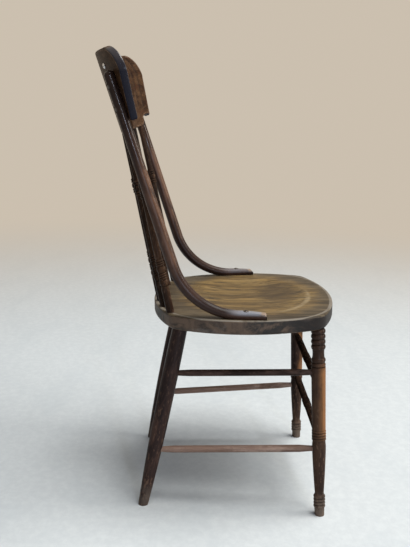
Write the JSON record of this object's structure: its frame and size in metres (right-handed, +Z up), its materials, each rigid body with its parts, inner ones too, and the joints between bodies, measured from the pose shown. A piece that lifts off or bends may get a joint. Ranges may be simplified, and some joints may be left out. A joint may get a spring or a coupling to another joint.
{
  "type": "spindle back chair",
  "caption": "Wooden side chair with a dished seat, ringed front legs, bent back posts, a curved crest rail and a row of turned spindles.",
  "frame": {"origin": "on the floor, under the middle of the chair's outer box", "axes": "+Z up, +Y to the rear (the sitter faces -Y), +X to the sitter's left"},
  "size_m": [0.352, 0.43, 0.7727],
  "materials": {
    "seat_wood": "worn varnish, golden brown in the dish",
    "turned_wood": "old dark brown varnish",
    "crest_wood": "old brown varnish",
    "screw_steel": "dull steel"
  },
  "bodies": {
    "root": {"bent_post_left": "turned_wood", "bent_post_right": "turned_wood", "crest_back_screws": "screw_steel", "crest_rail": "crest_wood", "front_leg_left": "turned_wood", "front_leg_right": "turned_wood", "front_stretcher_lower": "turned_wood", "front_stretcher_upper": "turned_wood", "post_crest_screws": "screw_steel", "post_foot_screws": "screw_steel", "rear_leg_left": "turned_wood", "rear_leg_right": "turned_wood", "rear_stretcher": "turned_wood", "seat": "seat_wood", "side_stretcher_lower_left": "turned_wood", "side_stretcher_lower_right": "turned_wood", "side_stretcher_upper_left": "turned_wood", "side_stretcher_upper_right": "turned_wood", "spindle_1": "turned_wood", "spindle_2": "turned_wood", "spindle_3": "turned_wood", "spindle_4": "turned_wood", "spindle_5": "turned_wood", "spindle_6": "turned_wood", "spindle_7": "turned_wood"}
  },
  "joints": []
}
